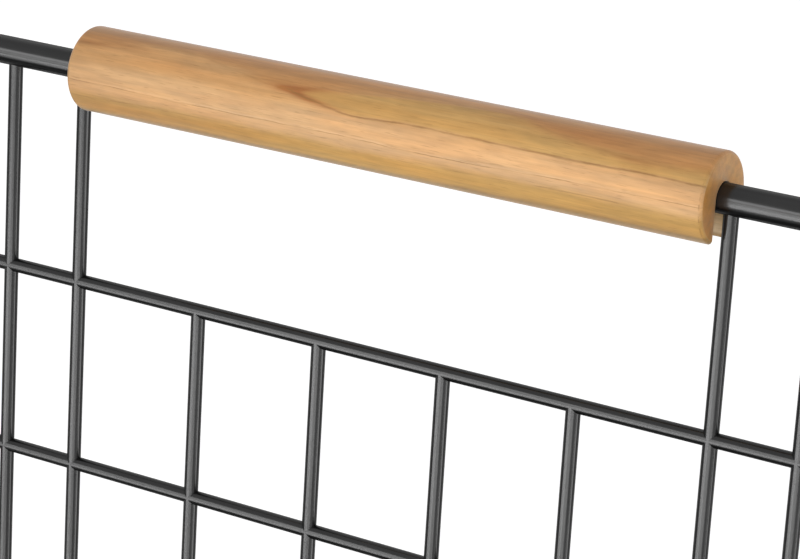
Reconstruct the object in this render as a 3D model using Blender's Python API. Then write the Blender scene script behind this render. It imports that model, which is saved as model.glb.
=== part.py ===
"""Wire storage basket with two wooden handles, in metres, +Z up, standing on Z = 0.

A thick rim rod and four thin row rods run round the basket. Twelve thin rods cross it
from wall to wall and eight run from end to end, each bent to a U: the legs are the
uprights of two facing walls, and the middle lies in the floor. Rows and uprights lie in
one plane, each halved into the other where they are welded. The middle uprights of the
handle walls stop under the first row, which leaves a hand hole below each handle.
"""

import math

import bmesh
import bpy
from mathutils import Matrix, Vector

# Overall sizes, in metres, measured to the centre lines of the walls
BASKET_LENGTH = 0.400
BASKET_WIDTH = 0.300
BASKET_HEIGHT = 0.1895
CORNER_RADIUS = 0.030

# Rods
RIM_RADIUS = 0.0030
ROD_RADIUS = 0.0015
BEND_RADIUS = 0.009

# Rows: the first one clears the hand, the lowest one stands just above the floor bends
FIRST_ROW_DROP = 0.04675
BASE_ROW_CLEARANCE = 0.0012
ROW_COUNT = 4

# Wooden handles, each a slotted dowel between two stay uprights
HANDLE_LENGTH = 0.1465
HANDLE_RADIUS = 0.00895
HANDLE_DROP = 0.0001
HANDLE_EDGE_RADIUS = 0.0006
HANDLE_END_GAP = 0.00035

# Places of the uprights
BAY_ROD_SHARES = (0.2084, 0.4087, 0.6059, 0.8030)
STAY_PITCH = 0.0184
CORNER_MARGIN = 0.0174
OUTER_ROD_COUNT = 2
LENGTH_ROD_COUNT = 8

# Clearance between welded or seated pieces, and how far every cutter overruns its cut
SEAT_GAP = 0.0003
OVERRUN = 0.002
WELD_DISTANCE = 0.000001

# Facets
ROD_SIDES = 8
RIM_SIDES = 12
ENVELOPE_SIDES = 16
HANDLE_SIDES = 28
FLOOR_BEND_STEPS = 4
CORNER_STEPS = 6
HANDLE_EDGE_STEPS = 2
SMOOTH_ANGLE = math.radians(50)

# Finishes, as linear colour, roughness and metallic value
COAT = ((0.022, 0.022, 0.023, 1.0), 0.42, 0.0)
WOOD = ((0.56, 0.31, 0.13, 1.0), 0.48, 0.0)

# Levels and places that follow from the sizes above
HALF_LENGTH = BASKET_LENGTH / 2
HALF_WIDTH = BASKET_WIDTH / 2
RIM_Z = BASKET_HEIGHT - RIM_RADIUS
CROSS_FLOOR_Z = ROD_RADIUS
LENGTH_FLOOR_Z = CROSS_FLOOR_Z + 2 * ROD_RADIUS + SEAT_GAP
FIRST_ROW_Z = RIM_Z - FIRST_ROW_DROP
BASE_ROW_Z = LENGTH_FLOOR_Z + BEND_RADIUS + ROD_RADIUS + BASE_ROW_CLEARANCE
STAY_X = HANDLE_LENGTH / 2 + HANDLE_END_GAP + ROD_RADIUS

X_AXIS = Vector((1, 0, 0))
Y_AXIS = Vector((0, 1, 0))
Z_AXIS = Vector((0, 0, 1))
QUARTER_TURN = math.radians(90)


def spread(low, high, count):
    """Gives evenly spaced places from low to high, both included."""
    return [low + (high - low) * index / (count - 1) for index in range(count)]


def row_levels():
    """Gives the heights of the row rods, first row at the top."""
    return spread(FIRST_ROW_Z, BASE_ROW_Z, ROW_COUNT)


def bay_places():
    """Gives the places of the short uprights below the handles."""
    return [STAY_X * (2 * share - 1) for share in BAY_ROD_SHARES]


def tall_places():
    """Gives the places of the uprights that reach the rim beside the handles."""
    neighbour = STAY_X + STAY_PITCH
    outermost = HALF_LENGTH - CORNER_RADIUS - CORNER_MARGIN
    outward = spread(neighbour, outermost, OUTER_ROD_COUNT + 1)
    right = [STAY_X] + outward
    return [-place for place in reversed(right)] + right


def length_rod_places():
    """Gives the places of the uprights of the end walls."""
    outermost = HALF_WIDTH - CORNER_RADIUS - CORNER_MARGIN
    return spread(-outermost, outermost, LENGTH_ROD_COUNT)


def clear_scene():
    """Empties the scene."""
    for item in list(bpy.data.objects):
        bpy.data.objects.remove(item, do_unlink=True)


def finish_material(name, finish):
    """Makes a piece's own material from a finish."""
    colour, roughness, metallic = finish
    material = bpy.data.materials.new(name + "_finish")
    material.use_nodes = True
    shader = material.node_tree.nodes["Principled BSDF"]
    shader.inputs["Base Color"].default_value = colour
    shader.inputs["Roughness"].default_value = roughness
    shader.inputs["Metallic"].default_value = metallic
    material.diffuse_color = colour
    return material


def add_object(name, bm):
    """Puts a finished mesh in the scene under its name."""
    bmesh.ops.recalc_face_normals(bm, faces=bm.faces)
    mesh = bpy.data.meshes.new(name)
    bm.to_mesh(mesh)
    bm.free()
    item = bpy.data.objects.new(name, mesh)
    bpy.context.scene.collection.objects.link(item)
    return item


def add_piece(name, bm, finish):
    """Adds a piece of the basket with its own material and smooth round faces."""
    item = add_object(name, bm)
    item.data.materials.append(finish_material(name, finish))
    item.data.shade_smooth()
    item.data.set_sharp_from_angle(angle=SMOOTH_ANGLE)
    return item


def add_cutter(name, bm):
    """Adds a shape that only cuts others."""
    item = add_object(name, bm)
    item.hide_render = True
    item.display_type = "WIRE"
    return item


def cut(item, *cutters):
    """Takes each cutter's shape away from a piece."""
    for cutter in cutters:
        modifier = item.modifiers.new(cutter.name, "BOOLEAN")
        modifier.operation = "DIFFERENCE"
        modifier.solver = "EXACT"
        modifier.object = cutter


def corner_distance(radius, sides):
    """Gives the corner distance of a polygon whose flats lie at the radius."""
    return radius / math.cos(math.pi / sides)


def loop_among(geometry):
    """Picks the newly drawn loop out of what a modelling step returns."""
    corners = {part for part in geometry if isinstance(part, bmesh.types.BMVert)}
    edges = [part for part in geometry if isinstance(part, bmesh.types.BMEdge)]
    return [edge for edge in edges if corners.issuperset(edge.verts)]


def draw_straight(bm, loop, travel):
    """Draws a rod on from its end loop in a straight line."""
    drawn = bmesh.ops.extrude_edge_only(bm, edges=loop)["geom"]
    corners = [part for part in drawn if isinstance(part, bmesh.types.BMVert)]
    bmesh.ops.translate(bm, verts=corners, vec=travel)
    return loop_among(drawn)


def draw_bend(bm, loop, centre, axis, steps):
    """Draws a rod on from its end loop round a quarter turn."""
    drawn = bmesh.ops.spin(
        bm, geom=loop, cent=centre, axis=axis, dvec=Vector(), angle=QUARTER_TURN, steps=steps
    )
    return loop_among(drawn["geom_last"])


def start_rod(bm, start, heading, axis, radius, sides):
    """Makes a rod's first loop, with flats along and across the bending plane."""
    frame = Matrix((heading.cross(axis), axis, heading)).transposed().to_4x4()
    frame.translation = start
    half_step = Matrix.Rotation(math.pi / sides, 4, "Z")
    corner = corner_distance(radius, sides)
    bmesh.ops.create_circle(bm, segments=sides, radius=corner, matrix=frame @ half_step)
    return list(bm.edges)


def bend_rod(start, heading, axis, radius, sides, runs, bend_radius, steps, bends):
    """Draws a rod through straight runs, with a square bend after each of the first ones."""
    bm = bmesh.new()
    loop = start_rod(bm, start, heading, axis, radius, sides)
    point = start.copy()
    for index, run in enumerate(runs):
        loop = draw_straight(bm, loop, heading * run)
        point += heading * run
        if index < bends:
            centre = point + axis.cross(heading) * bend_radius
            loop = draw_bend(bm, loop, centre, axis, steps)
            heading = Matrix.Rotation(QUARTER_TURN, 3, axis) @ heading
            point = centre + heading.cross(axis) * bend_radius
    return bm


def closed_ring(level, radius, sides):
    """Draws a rod right round the basket at a level and joins its two ends."""
    side_run = BASKET_LENGTH - 2 * CORNER_RADIUS
    end_run = BASKET_WIDTH - 2 * CORNER_RADIUS
    start = Vector((-side_run / 2, -HALF_WIDTH, level))
    runs = (side_run, end_run, side_run, end_run)
    bm = bend_rod(
        start, X_AXIS, Z_AXIS, radius, sides, runs, CORNER_RADIUS, CORNER_STEPS, len(runs)
    )
    bmesh.ops.remove_doubles(bm, verts=bm.verts, dist=WELD_DISTANCE)
    return bm


def u_rod(start, axis, top, floor_z, span):
    """Draws a thin rod down one wall, across the floor and up the facing wall."""
    leg = top - floor_z - BEND_RADIUS
    runs = (leg, span - 2 * BEND_RADIUS, leg)
    start = start + Z_AXIS * top
    bm = bend_rod(
        start, -Z_AXIS, axis, ROD_RADIUS, ROD_SIDES, runs, BEND_RADIUS, FLOOR_BEND_STEPS, 2
    )
    bmesh.ops.holes_fill(bm, edges=bm.edges)
    return bm


def add_box(bm, low, high):
    """Adds a box between two opposite corners."""
    low, high = Vector(low), Vector(high)
    size = Matrix.Diagonal(high - low).to_4x4()
    place = Matrix.Translation((low + high) / 2)
    bmesh.ops.create_cube(bm, size=1.0, matrix=place @ size)


def row_seats(name, levels):
    """Cuts the room for rows out of the outer half of every upright."""
    bm = bmesh.new()
    reach = ROD_RADIUS + SEAT_GAP
    outward = ROD_RADIUS + OVERRUN
    side = HALF_LENGTH - CORNER_RADIUS
    end = HALF_WIDTH - CORNER_RADIUS
    for level in levels:
        low, high = level - reach, level + reach
        inner, outer = HALF_WIDTH - SEAT_GAP / 2, HALF_WIDTH + outward
        add_box(bm, (-side, inner, low), (side, outer, high))
        add_box(bm, (-side, -outer, low), (side, -inner, high))
        inner, outer = HALF_LENGTH - SEAT_GAP / 2, HALF_LENGTH + outward
        add_box(bm, (inner, -end, low), (outer, end, high))
        add_box(bm, (-outer, -end, low), (-inner, end, high))
    return add_cutter(name, bm)


def upright_seats():
    """Cuts the room for uprights out of the inner half of every row they cross."""
    bm = bmesh.new()
    reach = ROD_RADIUS + SEAT_GAP
    inward = ROD_RADIUS + OVERRUN
    levels = row_levels()
    low = BASE_ROW_Z - inward
    above_rows = FIRST_ROW_Z + inward
    under_first_row = (levels[0] + levels[1]) / 2
    tops = [(place, above_rows) for place in tall_places()]
    tops += [(place, under_first_row) for place in bay_places()]
    inner, outer = HALF_WIDTH - inward, HALF_WIDTH + SEAT_GAP / 2
    for place, top in tops:
        add_box(bm, (place - reach, inner, low), (place + reach, outer, top))
        add_box(bm, (place - reach, -outer, low), (place + reach, -inner, top))
    inner, outer = HALF_LENGTH - inward, HALF_LENGTH + SEAT_GAP / 2
    for place in length_rod_places():
        add_box(bm, (inner, place - reach, low), (outer, place + reach, above_rows))
        add_box(bm, (-outer, place - reach, low), (-inner, place + reach, above_rows))
    return add_cutter("upright_seats", bm)


def envelope(name, level, radius):
    """Makes a ring rod's shape with its clearance, to cope what meets it."""
    return add_cutter(name, closed_ring(level, radius + SEAT_GAP, ENVELOPE_SIDES))


def handle_slots():
    """Cuts the slot below the rim, open downward, through both handles."""
    bm = bmesh.new()
    reach = HANDLE_LENGTH / 2 + OVERRUN
    half_slot = RIM_RADIUS + SEAT_GAP
    bottom = RIM_Z - HANDLE_DROP - HANDLE_RADIUS - OVERRUN
    for wall in (-HALF_WIDTH, HALF_WIDTH):
        add_box(bm, (-reach, wall - half_slot, bottom), (reach, wall + half_slot, RIM_Z))
    return add_cutter("handle_slots", bm)


def handle_profile():
    """Gives the half outline of a handle, from one end's centre to the other's."""
    half = HANDLE_LENGTH / 2
    turns = spread(0, QUARTER_TURN, HANDLE_EDGE_STEPS + 1)
    inset = HANDLE_EDGE_RADIUS
    rim_radius = corner_distance(HANDLE_RADIUS, HANDLE_SIDES)
    right = [
        (half - inset + inset * math.cos(turn), rim_radius - inset + inset * math.sin(turn))
        for turn in turns
    ]
    left = [(-along, out) for along, out in reversed(right)]
    return [(half, 0.0)] + right + left + [(-half, 0.0)]


def handle(name, wall, cutters):
    """Turns a handle from its outline and slots it over the rim."""
    bm = bmesh.new()
    points = [bm.verts.new((along, out, 0.0)) for along, out in handle_profile()]
    outline = [bm.edges.new(pair) for pair in zip(points, points[1:])]
    full_turn = 4 * QUARTER_TURN
    bmesh.ops.spin(
        bm, geom=points + outline, cent=Vector(), axis=X_AXIS, angle=full_turn, steps=HANDLE_SIDES
    )
    bmesh.ops.remove_doubles(bm, verts=bm.verts, dist=WELD_DISTANCE)
    flat_down = Matrix.Rotation(QUARTER_TURN + math.pi / HANDLE_SIDES, 4, "X")
    place = Matrix.Translation((0.0, wall, RIM_Z - HANDLE_DROP))
    bmesh.ops.transform(bm, matrix=place @ flat_down, verts=bm.verts)
    item = add_piece(name, bm, WOOD)
    cut(item, *cutters)


def cross_rods(full_cutters, bay_cutters):
    """Bends the rods whose legs stand in the two handle walls."""
    rods = [(place, RIM_Z, full_cutters) for place in tall_places()]
    rods += [(place, FIRST_ROW_Z, bay_cutters) for place in bay_places()]
    for index, (place, top, cutters) in enumerate(sorted(rods, key=lambda rod: rod[0])):
        start = Vector((place, -HALF_WIDTH, 0))
        bm = u_rod(start, X_AXIS, top, CROSS_FLOOR_Z, BASKET_WIDTH)
        item = add_piece(f"cross_rod_{index + 1:02d}", bm, COAT)
        cut(item, *cutters)


def length_rods(cutters):
    """Bends the rods whose legs stand in the two end walls."""
    for index, place in enumerate(length_rod_places()):
        start = Vector((HALF_LENGTH, place, 0))
        bm = u_rod(start, Y_AXIS, RIM_Z, LENGTH_FLOOR_Z, BASKET_LENGTH)
        item = add_piece(f"length_rod_{index + 1:02d}", bm, COAT)
        cut(item, *cutters)


def rows(cutter):
    """Makes the thin rods that run round the basket."""
    for index, level in enumerate(row_levels()):
        item = add_piece(f"row_rod_{index + 1}", closed_ring(level, ROD_RADIUS, ROD_SIDES), COAT)
        cut(item, cutter)


def main():
    """Builds the basket."""
    clear_scene()
    levels = row_levels()
    first_row_seat = row_seats("first_row_seat", levels[:1])
    lower_row_seats = row_seats("lower_row_seats", levels[1:])
    rim_envelope = envelope("rim_envelope", RIM_Z, RIM_RADIUS)
    first_row_envelope = envelope("first_row_envelope", FIRST_ROW_Z, ROD_RADIUS)
    full_cutters = (first_row_seat, lower_row_seats, rim_envelope)
    bay_cutters = (lower_row_seats, first_row_envelope)
    slots = handle_slots()

    add_piece("rim_rod", closed_ring(RIM_Z, RIM_RADIUS, RIM_SIDES), COAT)
    rows(upright_seats())
    cross_rods(full_cutters, bay_cutters)
    length_rods(full_cutters)
    handle("handle_back", HALF_WIDTH, (rim_envelope, slots))
    handle("handle_front", -HALF_WIDTH, (rim_envelope, slots))


main()
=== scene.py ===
"""Looks of the wire storage basket, in metres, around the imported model.

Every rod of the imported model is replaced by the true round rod, run along the same
bent path, and each handle by a finely rounded dowel with its slot. The rods carry a
satin black powder coat, the handles a clear lacquer on streaked wood.

A span holds the two ends of a range, then the results there where they aren't 0 and 1.
"""

import logging
import math
from dataclasses import dataclass
from enum import Enum
from functools import reduce
from typing import Union

import bpy
import numpy as np
from bpy.types import ID, Material, Mesh, Node, NodeTree, Object
from bpy.types import NodeSocket as Socket
from mathutils import Matrix, Vector


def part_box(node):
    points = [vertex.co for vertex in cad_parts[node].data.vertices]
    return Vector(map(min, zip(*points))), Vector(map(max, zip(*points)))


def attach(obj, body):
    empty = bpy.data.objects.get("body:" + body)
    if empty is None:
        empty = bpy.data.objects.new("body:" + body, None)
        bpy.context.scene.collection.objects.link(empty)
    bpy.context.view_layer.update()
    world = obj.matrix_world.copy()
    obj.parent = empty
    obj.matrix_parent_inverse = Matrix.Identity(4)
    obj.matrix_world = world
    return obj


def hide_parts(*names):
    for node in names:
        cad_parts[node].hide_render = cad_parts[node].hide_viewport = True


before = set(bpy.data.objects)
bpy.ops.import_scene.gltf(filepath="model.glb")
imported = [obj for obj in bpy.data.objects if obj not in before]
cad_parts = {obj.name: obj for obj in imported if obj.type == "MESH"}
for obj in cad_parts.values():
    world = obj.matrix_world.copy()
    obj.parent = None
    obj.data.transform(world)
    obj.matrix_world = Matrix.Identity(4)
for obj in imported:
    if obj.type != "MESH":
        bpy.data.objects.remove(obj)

LOG = logging.getLogger("basket")
BODY = "root"
MILLIMETRE = 0.001
FULL_TURN = 2 * math.pi
QUARTER_TURN = math.pi / 2
CREASE = math.radians(50.0)
NOISE_LOW = 0.3
NOISE_HIGH = 0.7
NOISE_MIDDLE = 0.5
WHITE = (1.0, 1.0, 1.0)
RIGHT = np.array([1.0, 0.0, 0.0])
BACKWARD = np.array([0.0, 1.0, 0.0])
UPWARD = np.array([0.0, 0.0, 1.0])

Value = Union[Socket, float, tuple]


class Slot(Enum):
    """The record's material slots."""

    COAT = "black_coat"
    WOOD = "handle_wood"


@dataclass(frozen=True)
class Grain:
    """A random pattern, by how many times it changes in a metre along X and across it.

    It has some finer layers, as strong as its roughness, and may swing a tone either way.
    """

    along: float
    across: float
    detail: float
    roughness: float = 0.5
    swing: float = 0.0


class Graph:
    """Lays nodes into one node tree and links them."""

    def __init__(self, tree: NodeTree) -> None:
        """Starts on a node tree."""
        self.tree = tree

    def node(self, kind: str, settings: dict | None = None, inputs: dict | None = None) -> Node:
        """Adds a node.

        Args:
            kind: The node's type name.
            settings: Properties of the node, by name.
            inputs: Values for its inputs, by name or number.

        Returns:
            The new node.
        """
        node = self.tree.nodes.new(kind)
        for name, value in (settings or {}).items():
            setattr(node, name, value)
        self.fill(node, inputs or {})
        return node

    def fill(self, node: Node, inputs: dict) -> None:
        """Links or sets some of a node's inputs.

        Args:
            node: The node.
            inputs: Outputs, numbers, vectors or colours, by the input's name or number.
        """
        for name, value in inputs.items():
            socket = node.inputs[name]
            if isinstance(value, Socket):
                self.tree.links.new(value, socket)
            elif socket.type == "RGBA":
                socket.default_value = (*value, 1.0)
            else:
                socket.default_value = value

    def maths(self, operation: str, *values: Value, clamp: bool = False) -> Socket:
        """Works out one sum of up to three numbers, and may keep it between 0 and 1."""
        settings = {"operation": operation, "use_clamp": clamp}
        return self.node("ShaderNodeMath", settings, dict(enumerate(values))).outputs[0]

    def product(self, *values: Value) -> Socket:
        """Multiplies two or more numbers."""
        return reduce(lambda first, second: self.maths("MULTIPLY", first, second), values)

    def vectors(self, operation: str, *values: Value, output: str = "Vector") -> Socket:
        """Works out one sum of vectors or colours, and returns the output of that name."""
        settings = {"operation": operation}
        return self.node("ShaderNodeVectorMath", settings, dict(enumerate(values))).outputs[output]

    def blend(self, share: Value, first: Value, second: Value) -> Socket:
        """Blends two colours, by the second one's share.

        Inputs 6 and 7 and output 2 of a Mix node are its colours.

        Args:
            share: The share, kept between 0 and 1.
            first: The colour at 0.
            second: The colour at 1.

        Returns:
            The blended colour's socket.
        """
        inputs = {0: share, 6: first, 7: second}
        return self.node("ShaderNodeMix", {"data_type": "RGBA"}, inputs).outputs[2]

    def span(
        self, value: Socket, low: float, high: float, to_low: float = 0.0, to_high: float = 1.0
    ) -> Socket:
        """Moves a value smoothly from one range into another.

        Args:
            value: The value.
            low: Where the range starts.
            high: Where it ends.
            to_low: The result at its start.
            to_high: The result at its end.

        Returns:
            The result's socket.
        """
        settings = {"interpolation_type": "SMOOTHSTEP", "clamp": True}
        inputs = {0: value, 1: low, 2: high, 3: to_low, 4: to_high}
        return self.node("ShaderNodeMapRange", settings, inputs).outputs[0]

    def swing(self, noise: Socket, amount: float, middle: float = 1.0) -> Socket:
        """Turns a random pattern into a value that swings either way from a middle."""
        return self.span(noise, NOISE_LOW, NOISE_HIGH, middle - amount, middle + amount)

    def noise(self, place: Socket, grain: Grain) -> Socket:
        """Adds a random pattern.

        Args:
            place: The coordinates it is read at.
            grain: The pattern's measures.

        Returns:
            The pattern's socket, around one half.
        """
        stretch = (grain.along, grain.across, grain.across)
        stretched = self.node("ShaderNodeMapping", {}, {"Vector": place, "Scale": stretch})
        return self.node("ShaderNodeTexNoise", {}, {
            "Vector": stretched.outputs[0],
            "Scale": 1.0,
            "Detail": grain.detail,
            "Roughness": grain.roughness,
        }).outputs[0]


@dataclass(frozen=True)
class Path:
    """A flat line that a rod follows, with its heading at every point."""

    points: np.ndarray
    headings: np.ndarray
    closed: bool

    def refined(self, longest: float) -> "Path":
        """Splits the long straight runs into even steps.

        Each run from one point to the next gets as many steps as the longest step needs,
        and the points and headings between them are evenly mixed from its two ends.

        Args:
            longest: The longest step allowed.

        Returns:
            The same line with more points.
        """
        rows = np.hstack([self.points, self.headings])
        ends = np.roll(rows, -1, axis=0) if self.closed else rows[1:]
        starts = rows if self.closed else rows[:-1]
        runs = np.linalg.norm(ends[:, :3] - starts[:, :3], axis=1)
        counts = np.maximum(np.ceil(runs / longest).astype(int), 1)
        first = np.repeat(np.cumsum(counts) - counts, counts)
        shares = (np.arange(counts.sum()) - first) / np.repeat(counts, counts)
        rows = np.repeat(starts, counts, axis=0)
        rows = rows + shares[:, None] * np.repeat(ends - starts, counts, axis=0)
        if not self.closed:
            rows = np.vstack([rows, np.hstack([self.points[-1], self.headings[-1]])])
        headings = rows[:, 3:] / np.linalg.norm(rows[:, 3:], axis=1, keepdims=True)
        return Path(rows[:, :3], headings, self.closed)


def ring_path(
    half_length: float, half_width: float, corner: float, level: float, steps: int
) -> Path:
    """Draws a level rounded rectangle about the Z axis.

    Each corner is a quarter circle: its centre plus the corner radius times the cosine and
    sine of a turn, and the heading is that turn a quarter further on.

    Args:
        half_length: Half the length, to the centre line.
        half_width: Half the width, to the centre line.
        corner: The corner radius.
        level: The height.
        steps: The steps in each corner.

    Returns:
        The closed line, counterclockwise from above.
    """
    quarters = np.arange(4)[:, None] * QUARTER_TURN
    turns = (quarters + np.linspace(0.0, QUARTER_TURN, steps + 1)).ravel()
    signs = np.repeat(np.array([[1, 1], [-1, 1], [-1, -1], [1, -1]]), steps + 1, axis=0)
    inner = np.array([half_length - corner, half_width - corner])
    flat = signs * inner + corner * np.column_stack([np.cos(turns), np.sin(turns)])
    points = np.column_stack([flat, np.full(len(flat), level)])
    headings = np.column_stack([-np.sin(turns), np.cos(turns), np.zeros(len(turns))])
    return Path(points, headings, True)


def u_path(
    out: np.ndarray, half_span: float, offset: np.ndarray,
    top: float, floor: float, bend: float, steps: int,
) -> Path:
    """Draws a line down one wall, across the floor and up the facing wall.

    Each bend is a quarter circle about a centre one bend radius in from the wall and one
    above the floor, and the second bend is the first one mirrored across the middle.

    Args:
        out: The direction from the middle to the wall where the line ends.
        half_span: The distance from the middle to either wall.
        offset: Where the middle lies, level with Z = 0.
        top: The height of both ends.
        floor: The height of the floor run.
        bend: The bend radius.
        steps: The steps in each bend.

    Returns:
        The open line, from the end at the negative side to the positive one.
    """
    turns = np.linspace(0.0, QUARTER_TURN, steps + 1)
    cosine, sine = np.cos(turns), np.sin(turns)
    reach = half_span - bend
    across = np.concatenate([[-half_span], -reach - bend * cosine, reach + bend * sine, [half_span]])
    rounds = floor + bend - bend * np.concatenate([sine, cosine])
    height = np.concatenate([[top], rounds, [top]])
    along = np.concatenate([[0.0], sine, cosine, [0.0]])
    rise = np.concatenate([[-1.0], -cosine, sine, [1.0]])
    points = offset + across[:, None] * out + height[:, None] * UPWARD
    headings = along[:, None] * out + rise[:, None] * UPWARD
    return Path(points, headings, False)


def grid_faces(rows: int, columns: int, rows_close: bool, columns_close: bool) -> np.ndarray:
    """Lists the four-sided faces of a grid of vertices.

    Args:
        rows: The number of rows.
        columns: The number of vertices in a row.
        rows_close: Whether the last row joins the first.
        columns_close: Whether each row's last vertex joins its first.

    Returns:
        One row of four vertex numbers for each face.
    """
    down = np.arange(rows if rows_close else rows - 1)[:, None]
    along = np.arange(columns if columns_close else columns - 1)[None, :]
    this_row = down * columns
    next_row = (down + 1) % rows * columns
    beside = (along + 1) % columns
    corners = (this_row + along, this_row + beside, next_row + beside, next_row + along)
    return np.stack(corners, axis=-1).reshape(-1, 4)


def add_object(name: str, data: ID) -> Object:
    """Adds an object to the scene.

    Args:
        name: The object's name.
        data: Its mesh, lamp or camera.

    Returns:
        The new object, at the origin.
    """
    item = bpy.data.objects.new(name, data)
    bpy.context.scene.collection.objects.link(item)
    return item


def make_piece(name: str, vertices: np.ndarray, faces: list) -> Object:
    """Makes a smooth piece of the basket.

    Args:
        name: The piece's name.
        vertices: Its vertices, one row each.
        faces: Lists of vertex numbers.

    Returns:
        The new object, at the origin.
    """
    mesh = bpy.data.meshes.new(name)
    mesh.from_pydata(vertices, [], faces)
    mesh.validate()
    mesh.shade_smooth()
    mesh.set_sharp_from_angle(angle=CREASE)
    piece = add_object(name, mesh)
    return piece


def dress(piece: Object, node: str, finish: Material) -> None:
    """Gives a piece its material and puts it in its node's place.

    Args:
        piece: The piece.
        node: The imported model's node that it stands for.
        finish: The material.
    """
    piece.data.materials.append(finish)
    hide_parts(node)
    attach(piece, BODY)
    LOG.info("%s stands for %s", piece.name, node)


def round_rod(name: str, path: Path, normal: np.ndarray, radius: float, sides: int) -> Object:
    """Carries a circle along a flat line.

    A vertex is the line's point plus the radius times the cosine of a turn towards the
    side and the sine of that turn towards the plane's normal, where the side is the
    heading turned a quarter in the plane.

    Args:
        name: The piece's name.
        path: The line.
        normal: The direction at right angles to the line's plane.
        radius: The rod's radius.
        sides: The number of vertices round it.

    Returns:
        The rod, with its ends closed where the line is open.
    """
    turns = np.arange(sides)[:, None] * FULL_TURN / sides
    side = np.cross(path.headings, normal)
    circle = np.cos(turns) * side[:, None, :] + np.sin(turns) * normal
    vertices = (path.points[:, None, :] + radius * circle).reshape(-1, 3)
    faces = grid_faces(len(path.points), sides, path.closed, True)[:, ::-1].tolist()
    if not path.closed:
        last = len(vertices) - 1
        faces.append(list(range(sides)))
        faces.append(list(range(last, last - sides, -1)))
    return make_piece(name, vertices, faces)


@dataclass(frozen=True)
class CoatFinish:
    """Satin black powder coat."""

    name: str
    colour: tuple = (0.007, 0.007, 0.0072)
    worn: tuple = (0.010, 0.010, 0.0102)
    worn_span: tuple = (0.35, 0.7)
    cloud: Grain = Grain(90, 90, 3.0)
    roughness: float = 0.18
    roughness_swing: float = 0.02
    outline_roughness_span: tuple = (0.45, 0.8, 0.0, 0.40)
    # Painted shade: the outlines and, away from the topsides, the sides and undersides turn into a
    # near-black metal that mirrors little
    outline_painted_shade_span: tuple = (0.22, 0.38, 0.0, 0.9)
    painted_shade_height_span: tuple = (0.1, 0.6, 1.0, 0.25)
    specular: float = 0.58
    peel: Grain = Grain(1500, 1500, 2.0)
    peel_height: float = 0.0000004
    peel_strength: float = 0.5

    def material(self) -> Material:
        """Builds the coat.

        It has cloudy gloss, small changes of tone and a fine orange peel. Towards the
        outlines it turns rougher and, away from the topsides, into a near-black metal that
        mirrors little, which is painted shade on the outlines and undersides.

        Returns:
            The material.
        """
        material = bpy.data.materials.new(self.name)
        material.use_nodes = True
        graph = Graph(material.node_tree)
        place = graph.node("ShaderNodeTexCoord").outputs["Object"]
        cloud = graph.noise(place, self.cloud)
        facing = graph.node("ShaderNodeLayerWeight").outputs["Facing"]
        normal = graph.node("ShaderNodeNewGeometry").outputs["Normal"]
        height = graph.node("ShaderNodeSeparateXYZ", {}, {0: normal}).outputs["Z"]
        rough = graph.swing(cloud, self.roughness_swing, self.roughness)
        outline = graph.span(facing, *self.outline_roughness_span)
        # Painted shade on the outlines, less of it on the topsides
        painted_outline_shade = graph.span(facing, *self.outline_painted_shade_span)
        peel = graph.noise(place, self.peel)
        relief = {"Height": peel, "Distance": self.peel_height, "Strength": self.peel_strength}
        graph.fill(material.node_tree.nodes["Principled BSDF"], {
            "Base Color": graph.blend(graph.span(cloud, *self.worn_span), self.colour, self.worn),
            "Roughness": graph.maths("ADD", rough, outline),
            # Painted shade: outlines and undersides turn into a near-black metal
            "Metallic": graph.product(painted_outline_shade, graph.span(height, *self.painted_shade_height_span)),
            "Specular IOR Level": self.specular,
            "Normal": graph.node("ShaderNodeBump", {}, relief).outputs[0],
        })
        return material


def through(knots: tuple, places: np.ndarray) -> np.ndarray:
    """Carries a smooth curve through knots.

    Between two knots the value is the cubic that meets both with the slopes there, and
    a knot's slope is that of its neighbours.

    Args:
        knots: Pairs of place and value, in rising order of place.
        places: Where the curve is read.

    Returns:
        The curve's values.
    """
    x, y = np.array(knots).T
    slope = np.gradient(y, x)
    left = np.clip(np.searchsorted(x, places) - 1, 0, len(x) - 2)
    width = x[left + 1] - x[left]
    share = np.clip((places - x[left]) / width, 0.0, 1.0)
    rest = 1.0 - share
    ends = (1 + 2 * share) * rest**2 * y[left] + share**2 * (3 - 2 * share) * y[left + 1]
    return ends + width * share * rest * (rest * slope[left] - share * slope[left + 1])


def soft_step(value: np.ndarray, low: float, high: float) -> np.ndarray:
    """Rises smoothly from 0 to 1: three times the share squared less twice its cube."""
    share = np.clip((value - low) / (high - low), 0.0, 1.0)
    return share**2 * (3 - 2 * share)


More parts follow.
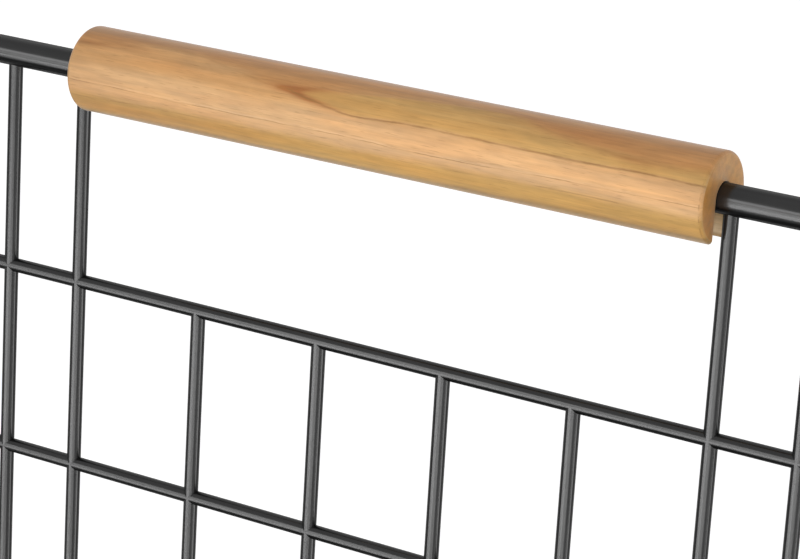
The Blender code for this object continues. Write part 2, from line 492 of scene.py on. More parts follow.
@dataclass(frozen=True)
class GrainFigure:
    """The figure in a dowel's wood, in millimetres along it and degrees round it.

    A turn of 0 faces the near side, 90 the top and 180 the far side. The flame, the
    crown, the seam and the heel are curves through pairs of place and turn. Embers,
    shades, paler patches and dims are rows of place, turn, length, breadth and strength;
    the paler patches along the top are a painted highlight.
    """

    flame_high: tuple
    flame_low: tuple
    crown_low: tuple
    crown_high: tuple
    seam: tuple
    heel: tuple
    heel_far: float
    embers: tuple
    shades: tuple
    pales_and_top_highlights: tuple
    dims: tuple
    radius: float = 8.95
    tip_length: float = 0.3
    tip_stroke: float = 1.15
    stroke_depth: float = 0.1
    stroke_width: float = 0.7
    stroke_length: float = 9.0
    flame_start: tuple = (-1.0, 1.5)
    ring_turn: float = 45.0
    ring_sway: float = 4.0
    ring_sway_length: float = 21.0
    ring_reach: float = 8.2
    ring_wave: float = 0.3
    ring_wave_length: float = 17.0
    far_turns: tuple = (92.0, 118.0)
    end_turns: tuple = (10.0, 75.0)
    inside_depths: tuple = (0.4, 1.0)

    def patches(self, spots: tuple, along: np.ndarray, turn: np.ndarray) -> np.ndarray:
        """Adds up soft oval patches.

        Each is its strength times e to the minus of the squared distances, along over its
        length and round over its breadth.

        Args:
            spots: Rows of place, turn, length, breadth and strength.
            along: Places along the dowel.
            turn: Turns round it.

        Returns:
            The sum of the patches at each place.
        """
        place, middle, length, breadth, strength = np.array(spots).T[:, :, None]
        far = ((along - place) / length) ** 2 + ((turn - middle) / breadth) ** 2
        return (strength * np.exp(-far)).sum(axis=0)

    def fields(self, along: np.ndarray, turn: np.ndarray, out: np.ndarray) -> dict[str, np.ndarray]:
        """Works out the figure at each place.

        A distance round the dowel is the difference of two turns times the length of one
        degree. The flame's distance is the smaller of those to its two sides, and before
        its tip the distance to the tip, with the part along the dowel shortened. The brown
        stroke there is e to the minus of the squared distances from its middle, round over
        its width and along over its length. The ring height is the distance from the axis
        times the cosine of the turn from the rings' crest, and both sway along the dowel.

        Args:
            along: Places along the dowel.
            turn: Turns round it.
            out: Distances from its axis.

        Returns:
            One array for each of the figure's attributes, by name.
        """
        scale = np.radians(1.0) * out
        tip_along, tip_turn = self.flame_low[0]
        from_tip = along - tip_along
        before = np.maximum(-from_tip, 0.0) * self.tip_length
        to_tip = np.hypot((turn - tip_turn) * scale, before)
        flame_high = through(self.flame_high, along) - turn
        flame_low = turn - through(self.flame_low, along)
        flame = np.where(before > 0, -to_tip, np.minimum(flame_high, flame_low) * scale)
        beside = (flame - self.stroke_depth) / self.stroke_width
        stroke = np.exp(-(beside**2) - (from_tip / self.stroke_length) ** 2)
        sway = self.ring_sway * np.sin(along / self.ring_sway_length)
        crest = np.radians(turn - self.ring_turn - sway)
        wave = self.ring_wave * np.sin(along / self.ring_wave_length)
        crown_low = turn - through(self.crown_low, along)
        crown_high = through(self.crown_high, along) - turn
        heel = np.maximum(through(self.heel, along) - turn, turn - self.heel_far)
        return {
            "flame_edge": flame,
            "flame_line": flame_low * scale,
            "flame_side": soft_step(from_tip, *self.flame_start),
            "crown_edge": np.minimum(crown_low, crown_high) * scale,
            "seam_line": (turn - through(self.seam, along)) * scale,
            "heel_edge": heel * scale,
            "ring_height": out * np.cos(crest) - self.ring_reach + wave,
            "far_side": soft_step(turn, *self.far_turns),
            "end_side": soft_step(turn, *self.end_turns),
            "inside": soft_step(self.radius - out, *self.inside_depths),
            "ember": self.patches(self.embers, along, turn) + self.tip_stroke * stroke,
            "shade": self.patches(self.shades, along, turn),
            "pale": self.patches(self.pales_and_top_highlights, along, turn),
            # Paler wood, and along the top a painted highlight
            "dim": self.patches(self.dims, along, turn),
        }


BACK_FIGURE = GrainFigure(
    flame_high=((-20, 41), (-13, 49), (-3, 55), (7, 63), (17, 69), (27, 73), (47, 78), (73, 80)),
    flame_low=(
        (-20, 41), (-17, 36), (-13, 31), (-8, 25.5), (-4, 22.8), (1, 24), (7, 26.6), (17, 26.2),
        (47, 24.2), (58, 25.2), (73, 24.2),
    ),
    crown_low=(
        (-73, 48), (-66, 53), (-58, 60), (-50, 67), (-44, 66), (-37, 57), (-30, 48), (-24, 42),
        (-20, 41), (-13, 50), (-3, 56), (7, 64), (17, 70), (24, 72), (32, 68), (38, 57), (45, 48),
        (52, 43), (60, 39), (73, 42),
    ),
    crown_high=((-73, 150), (-30, 128), (0, 160), (30, 122), (73, 140)),
    seam=(
        (-73, -3.8), (-50, -5.2), (-20, -5.4), (-3, -5.0), (12, -6.4), (27, -5.0), (42, -2.6),
        (57, -1.6), (73, -1.2),
    ),
    heel=((-73, -27), (-46, -22), (-30, -22), (-11, -23), (17, -21.5), (33, -18), (51, -16), (73, -19.5)),
    heel_far=196.0,
    embers=(
        (-20.5, 41, 4.5, 5, 0.55), (-13, 31.2, 3.5, 2.0, 0.5), (-9, 26.8, 3, 1.6, 0.45),
        (57, 40, 5, 4, 0.5), (46, 61, 8, 10, 0.3), (-69, 50, 7, 3.5, 0.55), (-60, 57, 6, 3.5, 0.3),
    ),
    shades=((-50, 42, 26, 12, 0.6), (50, 58, 16, 12, 0.4), (-5, 150, 30, 20, 0.5), (-58, -38, 24, 14, 0.5)),
    # Paler wood, and at turn 84 a painted highlight along the top
    pales_and_top_highlights=(
        (22, 7, 40, 10, 0.85), (36, -38, 32, 9, 0.6), (8, 84, 70, 12, 1.2), (68, 58, 8, 14, 0.4),
        (67, -8, 11, 13, 0.6),
    ),
    dims=((-76, 0, 13, 100, 0.15), (-50, -34, 26, 22, 0.08), (22, -36, 7, 16, 0.09), (64, 22, 12, 9, 0.07)),
)
FRONT_FIGURE = GrainFigure(
    flame_high=((12, 22), (18, 30), (28, 37), (42, 43), (58, 46), (73, 47)),
    flame_low=((12, 22), (15, 15), (20, 9), (28, 5), (42, 3), (58, 4), (73, 2)),
    crown_low=((-73, 66), (-50, 58), (-28, 62), (-8, 74), (10, 70), (30, 78), (52, 84), (73, 80)),
    crown_high=((-73, 122), (-40, 148), (-10, 131), (25, 158), (50, 137), (73, 146)),
    seam=((-73, 38), (-45, 36), (-20, 33), (0, 29), (20, -14), (45, -16), (73, -15)),
    heel=((-73, -14), (-50, -18), (-20, -24), (10, -27), (40, -25), (73, -29)),
    heel_far=204.0,
    embers=((12, 22, 4, 5, 0.8), (-44, 60, 8, 4, 0.4), (-64, -12, 7, 3, 0.35)),
    shades=((-30, 20, 26, 15, 0.3), (40, 24, 18, 9, 0.25), (10, 150, 34, 22, 0.5)),
    # Paler wood, and at turn 95 a painted highlight along the top
    pales_and_top_highlights=((-20, -4, 36, 14, 0.7), (45, 95, 40, 12, 0.7)),
    dims=((76, 10, 14, 80, 0.12), (-38, -30, 22, 20, 0.08), (10, 60, 12, 18, 0.06)),
    ring_turn=30.0,
    ring_reach=7.6,
)


@dataclass(frozen=True)
class GrainLine:
    """A grain line: half its width in millimetres, its share of gaps and its strength."""

    width: float
    gaps: float
    strength: float


@dataclass(frozen=True)
class LineEffect:
    """The shared effect of one grain line, which wanders and is broken into dashes."""

    wander: Grain = Grain(110, 440, 4.0, 0.68)
    wander_reach: float = 0.8
    dashes: Grain = Grain(140, 500, 3.0)
    dash_span: tuple = (0.42, 0.56, 1.0, 0.0)

    def group(self) -> NodeTree:
        """Builds the effect.

        Returns:
            The node group. It turns a distance to the line into the line's mask.
        """
        tree = bpy.data.node_groups.new("grain_line", "ShaderNodeTree")
        for name in ("Distance", "Width", "Break"):
            tree.interface.new_socket(name, in_out="INPUT", socket_type="NodeSocketFloat")
        tree.interface.new_socket("Place", in_out="INPUT", socket_type="NodeSocketVector")
        tree.interface.new_socket("Mask", in_out="OUTPUT", socket_type="NodeSocketFloat")
        graph = Graph(tree)
        given = graph.node("NodeGroupInput").outputs
        wander = graph.maths("SUBTRACT", graph.noise(given["Place"], self.wander), NOISE_MIDDLE)
        distance = graph.maths("MULTIPLY_ADD", wander, self.wander_reach, given["Distance"])
        share = graph.maths("DIVIDE", graph.maths("ABSOLUTE", distance), given["Width"])
        core = graph.span(share, 0.0, 1.0, 1.0, 0.0)
        dashes = graph.span(graph.noise(given["Place"], self.dashes), *self.dash_span)
        left = graph.maths("SUBTRACT", 1.0, graph.product(dashes, given["Break"]), clamp=True)
        graph.node("NodeGroupOutput", {}, {"Mask": graph.product(core, left)})
        return tree


class WoodGraph(Graph):
    """The nodes of a wood, with what all its parts use."""

    def __init__(self, tree: NodeTree, line_group: NodeTree) -> None:
        """Starts on a node tree.

        Args:
            tree: The material's node tree.
            line_group: The shared effect of a grain line.
        """
        super().__init__(tree)
        self.line_group = line_group
        self.place = self.node("ShaderNodeTexCoord").outputs["Object"]

    def field(self, name: str) -> Socket:
        """Reads one of the figure's attributes."""
        return self.node("ShaderNodeAttribute", {"attribute_name": name}).outputs["Fac"]

    def line(self, distance: Socket, kind: GrainLine) -> Socket:
        """Places one grain line.

        Args:
            distance: The distance to the line, in millimetres.
            kind: The kind of line.

        Returns:
            How strongly the line shows.
        """
        inputs = {"Distance": distance, "Width": kind.width, "Break": kind.gaps, "Place": self.place}
        group = self.node("ShaderNodeGroup", {"node_tree": self.line_group}, inputs)
        return self.product(group.outputs["Mask"], kind.strength)

    def ring_phase(self, pitch: float) -> Socket:
        """Works out where each place lies between two year rings, from -0.5 to 0.5."""
        phase = self.maths("DIVIDE", self.field("ring_height"), pitch)
        return self.maths("SUBTRACT", self.maths("FRACT", phase), 0.5)


@dataclass(frozen=True)
class WoodFinish:
    """Clear satin lacquer on light brown streaked wood.

    The spans of heel, flame, crown and the underside's painted shade are in millimetres
    from an edge.
    """

    name: str
    level: float = 0.825
    plain: tuple = (0.594, 0.331, 0.133)
    flame: tuple = (0.530, 0.299, 0.092)
    crown: tuple = (0.506, 0.243, 0.080)
    heel: tuple = (0.532, 0.296, 0.082)
    # How much paler the pale patches turn, the painted highlight along the top among them
    pale: tuple = (1.17, 1.18, 1.22)
    ember: tuple = (0.375, 0.140, 0.036)
    line: tuple = (0.290, 0.140, 0.036)
    # A painted highlight beside the seam
    seam_highlight: tuple = (0.640, 0.400, 0.205)
    end_near: tuple = (0.490, 0.215, 0.032)
    end_far: tuple = (0.540, 0.264, 0.066)
    # The slot's raw wood, made paler as painted light where its inside looks lit
    cut_and_painted_light: tuple = (0.640, 0.450, 0.245)
    warm: tuple = (1.02, 0.985, 0.93)
    cool: tuple = (0.98, 1.015, 1.07)
    ragged: Grain = Grain(70, 380, 3.0)
    ragged_reach: float = 2.4
    flame_ragged: float = 0.3
    heel_span: tuple = (-1.7, 0.6)
    flame_span: tuple = (-0.1, 0.5)
    crown_span: tuple = (-1.3, 1.6)
    # Painted shade: darker towards the underside
    underside_painted_shade_span: tuple = (3.4, 5.4, 1.0, 0.66)
    flame_line: GrainLine = GrainLine(0.36, 0.35, 0.85)
    seam_line: GrainLine = GrainLine(0.15, 0.7, 0.75)
    heel_line: GrainLine = GrainLine(0.20, 0.9, 0.50)
    crown_line: GrainLine = GrainLine(0.5, 0.5, 0.22)
    ring_line: GrainLine = GrainLine(0.3, 0.4, 0.6)
    seam_highlight_line: GrainLine = GrainLine(0.28, 0.5, 0.4)
    seam_highlight_offset: float = 0.3
    ring_pitch: float = 2.4
    ring_span: tuple = (0.1, 0.5, 1.03, 0.95)
    end_span: tuple = (0.88, 0.985)
    arris_spans: tuple = ((0.1, 0.3), (0.3, 0.6, 1.0, 0.0))
    arris_gap_span: tuple = (0.38, 0.55, 0.0, 0.7)
    arris_side_span: tuple = (0.0, 0.5, 1.0, 0.0)
    streaks: Grain = Grain(16, 560, 4.0, 0.6, 0.085)
    mottle: Grain = Grain(150, 700, 3.0, swing=0.075)
    fibres: Grain = Grain(60, 2600, 3.0, 0.6, 0.055)
    clouds: Grain = Grain(14, 120, 2.0, swing=0.04)
    warmth: Grain = Grain(45, 420, 2.0)
    pores: Grain = Grain(260, 4200, 1.0)
    pore_span: tuple = (0.62, 0.74, 0.0, 0.38)
    pore_depth: float = -0.5
    relief_height: float = 0.00001
    relief_strength: float = 0.6
    roughness: float = 0.47
    roughness_swing: float = 0.04
    specular: float = 0.42
    sheen: float = 0.28
    sheen_roughness: float = 0.35

    def zones(self, graph: WoodGraph) -> Socket:
        """Paints the zones and patches of the figure, with painted shade towards the underside
        and a painted highlight along the top.

        Args:
            graph: The material's nodes.

        Returns:
            The wood's colour without lines.
        """
        ragged = graph.maths("SUBTRACT", graph.noise(graph.place, self.ragged), NOISE_MIDDLE)
        ragged = graph.product(ragged, self.ragged_reach)
        heel = graph.maths("ADD", graph.field("heel_edge"), ragged)
        crown = graph.maths("ADD", graph.field("crown_edge"), ragged)
        flame = graph.maths("MULTIPLY_ADD", ragged, self.flame_ragged, graph.field("flame_edge"))
        colour = graph.blend(graph.span(heel, *self.heel_span), self.plain, self.heel)
        colour = graph.blend(graph.span(flame, *self.flame_span), colour, self.flame)
        colour = graph.blend(graph.span(crown, *self.crown_span), colour, self.crown)
        colour = graph.blend(graph.field("shade"), colour, self.crown)
        colour = graph.blend(graph.field("ember"), colour, self.ember)
        # Painted shade, darker towards the underside
        colour = graph.vectors("MULTIPLY", colour, graph.span(heel, *self.underside_painted_shade_span))
        # Paler wood, and a painted highlight along the top
        return graph.blend(graph.field("pale"), colour, graph.vectors("MULTIPLY", colour, self.pale))

    def lined(self, graph: WoodGraph, colour: Socket) -> Socket:
        """Draws the lines of the figure.

        The seam has a painted highlight beside it, and the flame's line starts at its tip.
        The year rings' lines show on the far side only.

        Args:
            graph: The material's nodes.
            colour: The wood's colour without lines.

        Returns:
            The colour with the lines.
        """
        # Painted highlight beside the seam
        beside = graph.maths("SUBTRACT", graph.field("seam_line"), self.seam_highlight_offset)
        colour = graph.blend(graph.line(beside, self.seam_highlight_line), colour, self.seam_highlight)
        flame = graph.line(graph.field("flame_line"), self.flame_line)
        rings = graph.product(graph.ring_phase(self.ring_pitch), self.ring_pitch)
        rings = graph.line(rings, self.ring_line)
        masks = (
            graph.product(flame, graph.field("flame_side")),
            graph.line(graph.field("seam_line"), self.seam_line),
            graph.line(graph.field("heel_edge"), self.heel_line),
            graph.line(graph.field("crown_edge"), self.crown_line),
            graph.product(rings, graph.field("far_side")),
        )
        for mask in masks:
            colour = graph.blend(mask, colour, self.line)
        return colour

    def cut_faces(self, graph: WoodGraph, colour: Socket, mottle: Socket) -> Socket:
        """Paints the slot's inside in raw wood made paler as painted light, the sawn ends and
        a broken darker line along the rounded edge before them.

        Args:
            graph: The material's nodes.
            colour: The wood's colour with its lines.
            mottle: The pattern that breaks up the line along the rounded edge.

        Returns:
            The colour with the slot's inside and the sawn ends.
        """
        normal = graph.node("ShaderNodeNewGeometry").outputs["Normal"]
        sideways = graph.node("ShaderNodeSeparateXYZ", {}, {0: normal}).outputs["X"]
        sideways = graph.maths("ABSOLUTE", sideways)
        end_side = graph.field("end_side")
        rings = graph.maths("ABSOLUTE", graph.ring_phase(self.ring_pitch))
        end_colour = graph.blend(end_side, self.end_near, self.end_far)
        end_colour = graph.vectors("MULTIPLY", end_colour, graph.span(rings, *self.ring_span))
        # A broken darker line along the rounded edge before the sawn ends
        arris = graph.product(
            graph.span(mottle, *self.arris_gap_span),
            graph.span(end_side, *self.arris_side_span),
            *(graph.span(sideways, *span) for span in self.arris_spans),
        )
        # The slot's inside: raw wood, made paler as painted light
        colour = graph.blend(graph.field("inside"), colour, self.cut_and_painted_light)
        colour = graph.blend(arris, colour, self.line)
        return graph.blend(graph.span(sideways, *self.end_span), colour, end_colour)

    def material(self, line_group: NodeTree) -> Material:
        """Builds the wood: its figure, fibres, pores and lacquer.

        Args:
            line_group: The shared effect of a grain line.

        Returns:
            The material.
        """
        material = bpy.data.materials.new(self.name)
        material.use_nodes = True
        graph = WoodGraph(material.node_tree, line_group)
        tones = (self.streaks, self.mottle, self.fibres, self.clouds)
        noises = [graph.noise(graph.place, grain) for grain in tones]
        streaks, mottle, fibres, _ = noises
        swings = [graph.swing(noise, grain.swing) for noise, grain in zip(noises, tones)]
        tone = graph.product(graph.maths("SUBTRACT", 1.0, graph.field("dim")), self.level, *swings)
        warmth = graph.noise(graph.place, self.warmth)
        tint = graph.blend(graph.span(warmth, NOISE_LOW, NOISE_HIGH), self.warm, self.cool)
        pores = graph.noise(graph.place, self.pores)
        colour = self.cut_faces(graph, self.lined(graph, self.zones(graph)), mottle)
        colour = graph.blend(graph.span(pores, *self.pore_span), colour, self.line)
        colour = graph.vectors("MULTIPLY", colour, tone)
        height = graph.maths("MULTIPLY_ADD", pores, self.pore_depth, fibres)
        relief = {"Height": height, "Distance": self.relief_height, "Strength": self.relief_strength}
        graph.fill(material.node_tree.nodes["Principled BSDF"], {
            "Base Color": graph.vectors("MULTIPLY", colour, tint),
            "Roughness": graph.swing(streaks, self.roughness_swing, self.roughness),
            "Specular IOR Level": self.specular,
            "Sheen Weight": self.sheen,
            "Sheen Roughness": self.sheen_roughness,
            "Normal": graph.node("ShaderNodeBump", {}, relief).outputs[0],
        })
        return material


@dataclass
class Rods:
    """The rim, the rows and the bent rods of the walls and the floor.

    Corner and bend are radii to the centre line. The lengthwise rods are set down into
    the cross rods, and the shorter uprights end a tuck below the first row's middle.
    """

    rim_sides: int = 64
    rod_sides: int = 32
    corner: float = 0.030
    bend: float = 0.009
    corner_steps: int = 20
    bend_steps: int = 10
    longest_step: float = 0.010
    set_down: float = 0.0006
    tuck: float = 0.0001

    def ring(self, node: str, finish: Material, sides: int) -> None:
        """Replaces a rod that runs right round the basket.

        Args:
            node: The rod's node.
            finish: Its material.
            sides: The number of vertices round it.
        """
        low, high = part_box(node)
        radius = (high.z - low.z) / 2
        level = (low.z + high.z) / 2
        path = ring_path(high.x - radius, high.y - radius, self.corner, level, self.corner_steps)
        path = path.refined(self.longest_step)
        dress(round_rod(node + "_round", path, UPWARD, radius, sides), node, finish)

    def bent(self, node: str, finish: Material, top: float, sink: float = 0.0) -> None:
        """Replaces a rod that is bent to a U.

        Args:
            node: The rod's node.
            finish: Its material.
            top: The height where its legs end, inside what they are welded to.
            sink: How far its floor run is pressed into the rods below.
        """
        low, high = (np.array(corner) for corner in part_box(node))
        middle = (low + high) / 2
        half = (high - low) / 2
        lengthwise = half[0] > half[1]
        out, normal = (RIGHT, BACKWARD) if lengthwise else (BACKWARD, -RIGHT)
        radius = min(half[:2])
        reach = max(half[:2]) - radius
        offset = np.array([middle[0], middle[1], 0.0])
        floor = low[2] + radius - sink
        path = u_path(out, reach, offset, top, floor, self.bend, self.bend_steps)
        path = path.refined(self.longest_step)
        dress(round_rod(node + "_round", path, normal, radius, self.rod_sides), node, finish)

    def build(self) -> None:
        """Makes every rod.

        An upright whose node ends below the first row ends in that row, and the others end
        in the rim.
        """
        rim_coat = CoatFinish("rim_coat").material()
        rod_coat = CoatFinish("rod_coat").material()
        self.ring("rim_rod", rim_coat, self.rim_sides)
        nodes = sorted(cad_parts)
        for node in (name for name in nodes if name.startswith("row_rod")):
            self.ring(node, rod_coat, self.rod_sides)
        rim_level = sum(corner.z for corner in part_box("rim_rod")) / 2
        row_level = sum(corner.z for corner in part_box("row_rod_1")) / 2 - self.tuck
        for node in (name for name in nodes if name.startswith("cross_rod")):
            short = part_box(node)[1].z < row_level
            self.bent(node, rod_coat, row_level if short else rim_level)
        for node in (name for name in nodes if name.startswith("length_rod")):
            self.bent(node, rod_coat, rim_level, self.set_down)


@dataclass
class Handle:
    """A wooden dowel, slotted from below over the rim.

    Its ends are rounded by the edge's radius, where the slot widens by slot_edge. The
    corners at the slot's mouth are rounded by the mouth's size.
    """

    node: str
    figure: GrainFigure
    edge: float = 0.0009
    slot_edge: float = 0.0002
    mouth: float = 0.0002
    slack: float = 0.0001
    rim_radius: float = 0.0030
    edge_steps: int = 8
    along_steps: int = 110
    wall_steps: int = 40
    arch_steps: int = 79
    mouth_steps: int = 6

    def section(self, radius: float, half_slot: float, lift: float) -> np.ndarray:
        """Draws the outline of the slotted dowel, seen along its axis.

        The outer arc is the radius times the cosine and sine of a turn from one side of
        the slot over the top to the other. The slot is two upright walls and half a circle
        round the rim. Each corner at the slot's mouth is a curve between two points near
        it, bent towards it: the squares and the product of a share and its rest weigh
        the three points.

        Args:
            radius: The dowel's radius at this place.
            half_slot: Half the slot's width there.
            lift: How far the rim's axis lies above the dowel's.

        Returns:
            The outline's points as sideways and upward distances. The first half runs
            round the outside and the second half back through the slot.
        """
        start = -QUARTER_TURN + math.asin((half_slot + self.mouth) / radius)
        turns = np.linspace(start, math.pi - start, 2 * self.wall_steps + self.arch_steps + 1)
        outer = radius * np.column_stack([np.cos(turns), np.sin(turns)])
        foot = -math.sqrt(radius**2 - half_slot**2)
        corner = np.array([half_slot, foot])
        wall_low = np.array([half_slot, foot + self.mouth])
        share = np.linspace(0.0, 1.0, 2 * self.mouth_steps + 1)[:, None]
        rest = 1 - share
        curve = share**2 * outer[0] + 2 * share * rest * corner + rest**2 * wall_low
        mirror = np.array([-1.0, 1.0])
        right_out = curve[self.mouth_steps : -1]
        outside = np.vstack([right_out, outer, (right_out * mirror)[::-1]])
        walls = np.linspace(foot + self.mouth, lift, self.wall_steps, endpoint=False)
        wall = np.column_stack([np.full(self.wall_steps, half_slot), walls])
        arch_turns = np.linspace(0.0, math.pi, self.arch_steps + 1)
        arch = half_slot * np.column_stack([np.cos(arch_turns), np.sin(arch_turns)]) + [0.0, lift]
        right_in = np.vstack([curve[self.mouth_steps : 0 : -1], wall])
        inside = np.vstack([right_in, arch, (right_in * mirror)[::-1]])
        return np.vstack([outside, inside[::-1]])

    def stations(self, half: float) -> np.ndarray:
        """Lists where the outline is drawn along the dowel.

        At a rounded end the distance from the end is the edge's radius times one less the
        sine of a turn, and the outline shrinks by the radius times one less its cosine.

        Args:
            half: Half the dowel's length.

        Returns:
            Rows of place along the dowel and share of the shrinking.
        """
        turns = np.linspace(0.0, QUARTER_TURN, self.edge_steps + 1)
        inward = self.edge * (1 - np.sin(turns))
        shrink = 1 - np.cos(turns)
        straight = np.linspace(self.edge - half, half - self.edge, self.along_steps)[1:-1]
        along = np.concatenate([inward[::-1] - half, straight, half - inward])
        shares = np.concatenate([shrink[::-1], np.zeros(len(straight)), shrink])
        return np.column_stack([along, shares])

    def build(self, finish: Material) -> None:
        """Makes the dowel.

        Args:
            finish: Its material.
        """
        low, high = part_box(self.node)
        radius = (high.y - low.y) / 2
        centre = np.array([(low.x + high.x) / 2, (low.y + high.y) / 2, high.z - radius])
        lift = sum(corner.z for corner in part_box("rim_rod")) / 2 - centre[2]
        loops = []
        for along, share in self.stations((high.x - low.x) / 2):
            half_slot = self.rim_radius + self.slack + self.slot_edge * share
            loop = self.section(radius - self.edge * share, half_slot, lift)
            loops.append(np.column_stack([np.full(len(loop), along), loop]))
        count = len(loops[0])
        vertices = np.vstack(loops) + centre
        outer = np.arange(count // 2 - 1)
        inner = count - 1 - outer
        cap = np.column_stack([outer, outer + 1, inner - 1, inner])
        far_cap = cap + (len(loops) - 1) * count
        faces = np.vstack([grid_faces(len(loops), count, False, True), cap[:, ::-1], far_cap])
        piece = make_piece(self.node + "_turned", vertices, faces.tolist())
        self.mark(piece.data, (vertices - centre) / MILLIMETRE)
        dress(piece, self.node, finish)

    def mark(self, mesh: Mesh, places: np.ndarray) -> None:
        """Stores the wood's figure at every vertex.

        Args:
            mesh: The dowel's mesh.
            places: Its vertices from the dowel's middle, in millimetres.
        """
        turn = np.degrees(np.arctan2(places[:, 2], -places[:, 1]))
        turn = np.where(turn < -90.0, turn + 360.0, turn)
        out = np.hypot(places[:, 1], places[:, 2])
        for name, values in self.figure.fields(places[:, 0], turn, out).items():
            layer = mesh.attributes.new(name, "FLOAT", "POINT")
            layer.data.foreach_set("value", values.astype(np.float32))


def pointing(turn: float, rise: float) -> Vector:
    """Points away from the back wall, turned from the front towards +X and raised."""
    level = math.cos(rise)
    return Vector((level * math.sin(turn), -level * math.cos(turn), math.sin(rise)))


@dataclass(frozen=True)
class SoftBox:
    """A soft lamp, by the directions in which its sides lie from the back wall.

    Turns are in degrees from the front towards +X, rises in degrees above the level.
    """

    name: str
    turn_from: float
    turn_to: float
    rise_from: float
    rise_to: float
    radiance: float
    distance: float = 1.6

    def hang(self, aim: Vector) -> None:
        """Hangs the lamp.

        A side is as long as twice the distance times the tangent of half its angle.

        Args:
            aim: The place that it looks at.
        """
        turn = math.radians(self.turn_from + self.turn_to) / 2
        rise = math.radians(self.rise_from + self.rise_to) / 2
        out = pointing(turn, rise)
        data = bpy.data.lights.new(self.name, "AREA")
        data.shape = "RECTANGLE"
        data.size = 2 * self.distance * math.tan(math.radians(self.turn_to - self.turn_from) / 2)
        data.size_y = 2 * self.distance * math.tan(math.radians(self.rise_to - self.rise_from) / 2)
        data.energy = self.radiance * math.pi * data.size * data.size_y
        item = add_object(self.name, data)
        facing = out.to_track_quat("Z", "Y").to_matrix().to_4x4()
        item.matrix_world = Matrix.Translation(aim + out * self.distance) @ facing
        item.visible_camera = False
        LOG.info("%s hangs %.1f m away", self.name, self.distance)


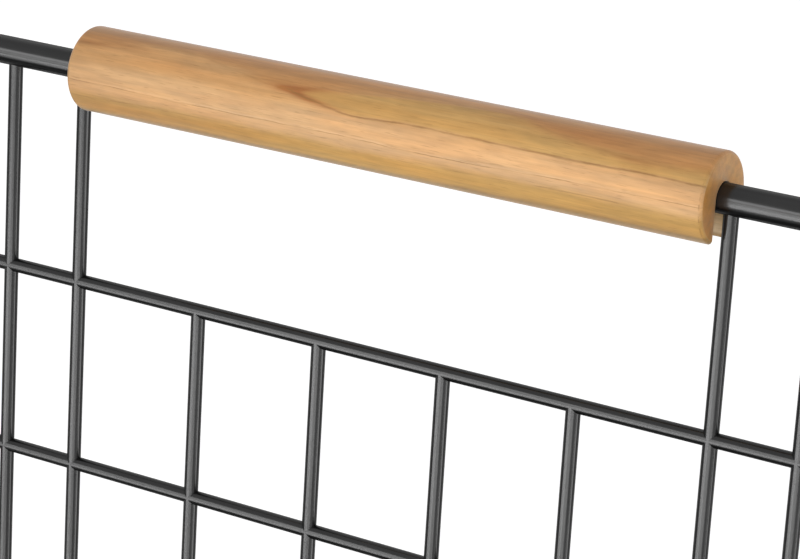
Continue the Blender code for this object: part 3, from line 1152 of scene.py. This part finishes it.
@dataclass
class Studio:
    """The floor, the backdrop, the lamps and the camera."""

    focal_length: float = 138.263
    sensor_width: float = 36.0
    near_limit: float = 0.01
    camera_place: tuple = (0.30832, -0.348573, 0.328799)
    camera_turn: float = math.radians(31.3479)
    camera_rise: float = math.radians(16.4370)
    camera_roll: float = math.radians(3.4706)
    aim: tuple = (0.0, 0.15, 0.13)
    lamps: tuple = (
        SoftBox("low_left_lamp", -48, -8, -40, -14, 4.8),
        SoftBox("level_lamp", -46, 37, -14, 20, 2.7),
        SoftBox("low_right_lamp", -8, 41, -40, -14, 3.05),
        SoftBox("side_lamp", 84, 114, -40, 15, 2.5),
    )
    floor_reach: float = 6.0
    floor_grey: float = 0.6
    floor_roughness: float = 0.9
    footprint: tuple = (0.2, 0.15, 0.0)
    # Less glow near the basket: a painted shadow pool
    glow_and_shadow_pool_span: tuple = (0.02, 0.14, 0.16, 0.67)
    overhead_span: tuple = (0.2, 0.5, 1.0, 0.58)
    underneath_span: tuple = (-0.9, -0.5, 0.35, 1.0)

    def camera(self) -> None:
        """Sets the camera at the photograph's viewing angle.

        Its side is the level direction turned by the roll about the line of sight.
        """
        backward = pointing(self.camera_turn, self.camera_rise)
        level = Vector((math.cos(self.camera_turn), math.sin(self.camera_turn), 0.0))
        upright = backward.cross(level)
        side = math.cos(self.camera_roll) * level + math.sin(self.camera_roll) * upright
        data = bpy.data.cameras.new("camera")
        data.lens = self.focal_length
        data.sensor_width = self.sensor_width
        data.clip_start = self.near_limit
        camera = add_object("camera", data)
        pose = Matrix((side, backward.cross(side), backward)).transposed().to_4x4()
        pose.translation = Vector(self.camera_place)
        camera.matrix_world = pose
        bpy.context.scene.camera = camera
        LOG.info("camera set at the photograph's angle")

    def paper(self) -> Material:
        """Builds the floor's pale paper.

        It glows where it is seen, so that it looks as white as the backdrop, and less near
        the basket, which is a painted shadow pool round its footprint, where its real shadow
        also stays.

        Returns:
            The material.
        """
        material = bpy.data.materials.new("floor_paper")
        material.use_nodes = True
        graph = Graph(material.node_tree)
        light = graph.node("ShaderNodeLightPath").outputs
        seen = graph.maths("ADD", light["Is Camera Ray"], light["Is Glossy Ray"])
        seen = graph.maths("ADD", seen, light["Is Transmission Ray"], clamp=True)
        place = graph.node("ShaderNodeTexCoord").outputs["Object"]
        outside = graph.vectors("SUBTRACT", graph.vectors("ABSOLUTE", place), self.footprint)
        outside = graph.vectors("MAXIMUM", outside, (0.0, 0.0, 0.0))
        away = graph.vectors("LENGTH", outside, output="Value")
        graph.fill(material.node_tree.nodes["Principled BSDF"], {
            "Base Color": (self.floor_grey,) * 3,
            "Roughness": self.floor_roughness,
            "Specular IOR Level": 0.0,
            "Emission Color": WHITE,
            # Painted shadow pool: less glow near the basket
            "Emission Strength": graph.product(seen, graph.span(away, *self.glow_and_shadow_pool_span)),
        })
        return material

    def floor(self) -> None:
        """Lays the pale floor.

        Mirrored rays pass through it and meet the lower half of the backdrop, which is as
        bright, so that the rods show the lamps that reach below the floor's level.
        """
        signs = np.array([[-1, -1, 0], [1, -1, 0], [1, 1, 0], [-1, 1, 0]])
        mesh = bpy.data.meshes.new("floor")
        mesh.from_pydata(self.floor_reach * signs, [], [(0, 1, 2, 3)])
        mesh.materials.append(self.paper())
        floor = add_object("floor", mesh)
        floor.visible_shadow = False
        floor.visible_glossy = False
        LOG.info("floor laid")

    def backdrop(self) -> None:
        """Gives the backdrop: white round about, dimmer overhead and far below."""
        world = bpy.data.worlds.new("studio")
        world.use_nodes = True
        bpy.context.scene.world = world
        graph = Graph(world.node_tree)
        place = graph.node("ShaderNodeTexCoord").outputs["Generated"]
        height = graph.node("ShaderNodeSeparateXYZ", {}, {0: place}).outputs["Z"]
        overhead = graph.span(height, *self.overhead_span)
        underneath = graph.span(height, *self.underneath_span)
        sky = {"Color": WHITE, "Strength": graph.product(overhead, underneath)}
        graph.fill(world.node_tree.nodes["Background"], sky)

    def build(self) -> None:
        """Sets the studio up."""
        self.camera()
        self.floor()
        self.backdrop()
        for lamp in self.lamps:
            lamp.hang(Vector(self.aim))
        bpy.context.scene.view_settings.view_transform = "Standard"


def main() -> None:
    """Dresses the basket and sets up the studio."""
    logging.basicConfig(level=logging.INFO, format="%(name)s: %(message)s")
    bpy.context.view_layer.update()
    Rods().build()
    wood = WoodFinish("handle_lacquered").material(LineEffect().group())
    Handle("handle_back", BACK_FIGURE).build(wood)
    Handle("handle_front", FRONT_FIGURE).build(wood)
    Studio().build()


if __name__ == "__main__":
    main()
